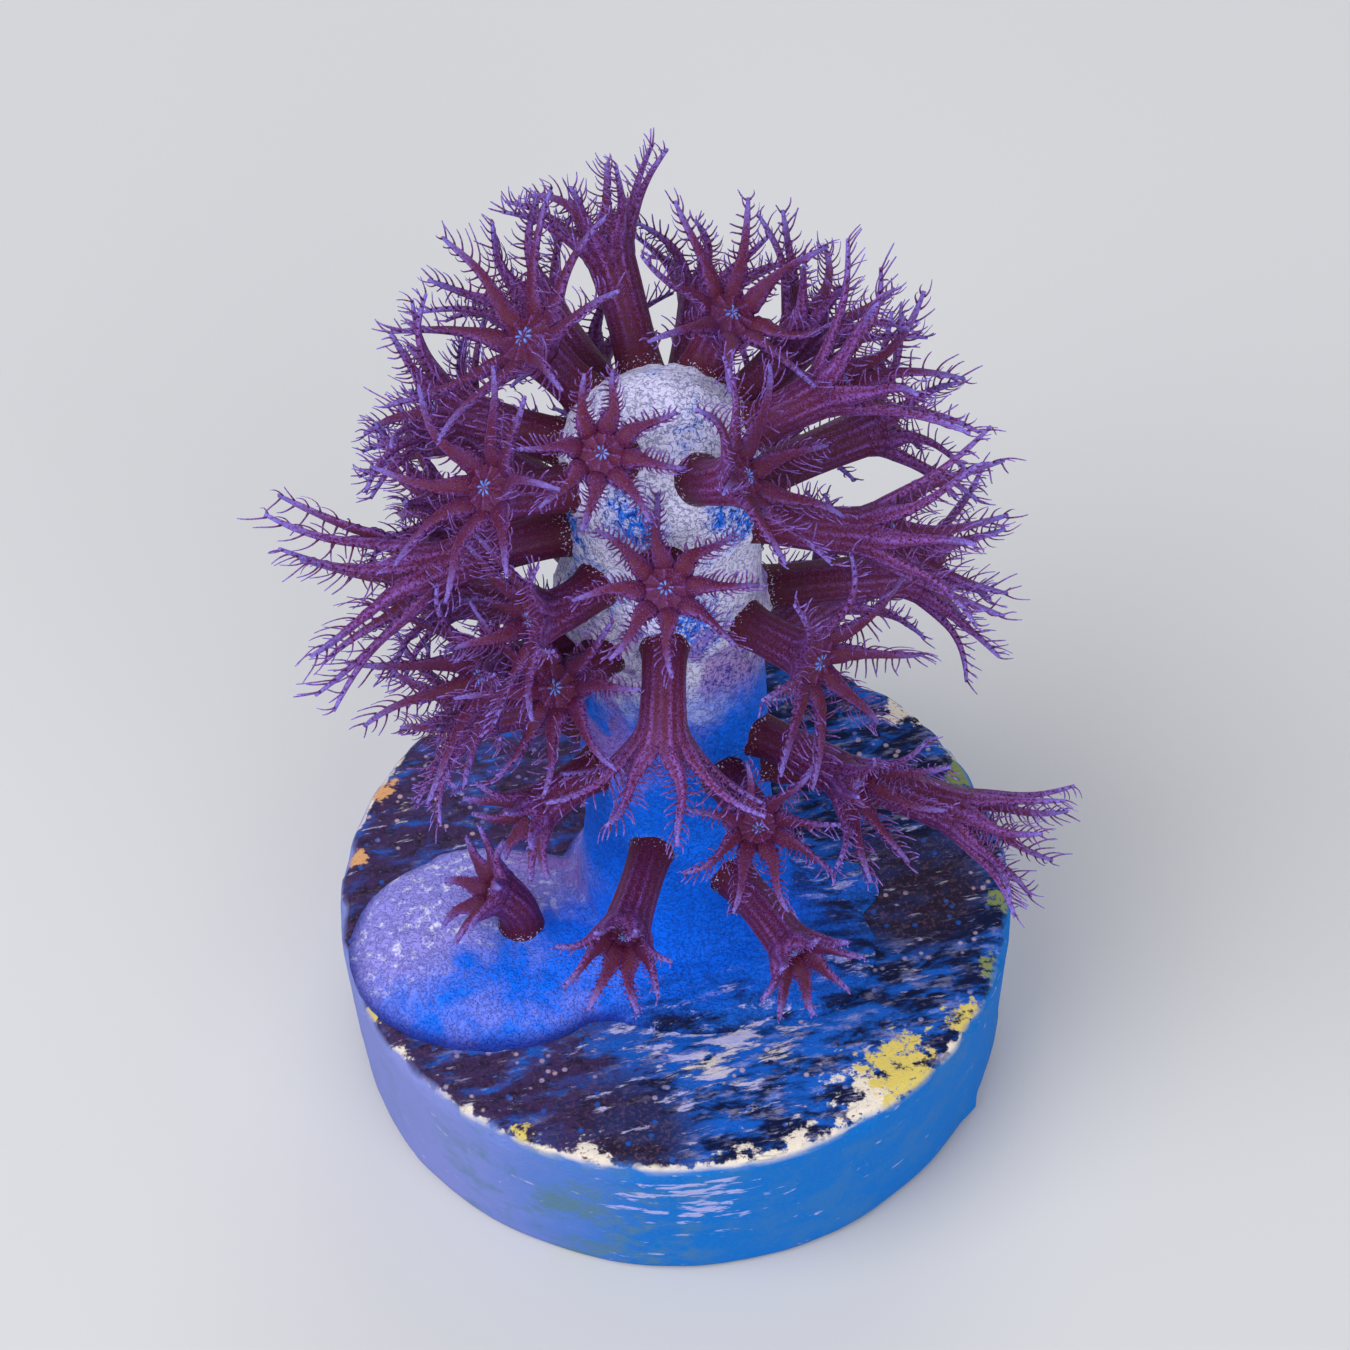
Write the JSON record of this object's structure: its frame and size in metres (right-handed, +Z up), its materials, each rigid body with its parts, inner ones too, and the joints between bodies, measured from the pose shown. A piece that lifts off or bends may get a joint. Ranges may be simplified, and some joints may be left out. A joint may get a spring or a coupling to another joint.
{
  "type": "sea fan coral frag",
  "caption": "Young sea fan coral: a pale finger-shaped stem with a spreading foot and feathery burgundy polyps, grown on a round frag disc that stands on its flat base.",
  "frame": {"origin": "centre of the frag disc's flat bottom face", "axes": "+Z up through the disc and the stem; -Y is the front, where the foot's lobe spreads; +X to the right"},
  "size_m": [0.035, 0.032, 0.0475],
  "materials": {
    "cement": "matte, crusted on top, smooth pale sides",
    "stem_tissue": "matte, finely speckled",
    "polyp_tissue": "moist satin, violet speckled"
  },
  "bodies": {
    "root": {"frag_disc": "cement", "stem_and_foot": "stem_tissue", "polyp_01": "polyp_tissue", "polyp_02": "polyp_tissue", "polyp_03": "polyp_tissue", "polyp_04": "polyp_tissue", "polyp_05": "polyp_tissue", "polyp_06": "polyp_tissue", "polyp_07": "polyp_tissue", "polyp_08": "polyp_tissue", "polyp_09": "polyp_tissue", "polyp_10": "polyp_tissue", "polyp_11": "polyp_tissue", "polyp_12": "polyp_tissue", "polyp_13": "polyp_tissue", "polyp_14": "polyp_tissue", "polyp_15": "polyp_tissue", "polyp_16": "polyp_tissue", "polyp_17": "polyp_tissue", "polyp_18": "polyp_tissue", "polyp_19": "polyp_tissue", "polyp_20": "polyp_tissue", "polyp_21": "polyp_tissue", "polyp_22": "polyp_tissue", "polyp_23": "polyp_tissue", "polyp_24": "polyp_tissue", "polyp_25": "polyp_tissue", "polyp_26": "polyp_tissue", "polyp_27": "polyp_tissue", "polyp_28": "polyp_tissue", "polyp_29": "polyp_tissue", "polyp_30": "polyp_tissue", "polyp_31": "polyp_tissue", "polyp_32": "polyp_tissue", "polyp_33": "polyp_tissue", "polyp_34": "polyp_tissue", "polyp_35": "polyp_tissue", "polyp_36": "polyp_tissue", "polyp_37": "polyp_tissue", "polyp_38": "polyp_tissue", "polyp_39": "polyp_tissue", "polyp_40": "polyp_tissue"}
  },
  "joints": []
}
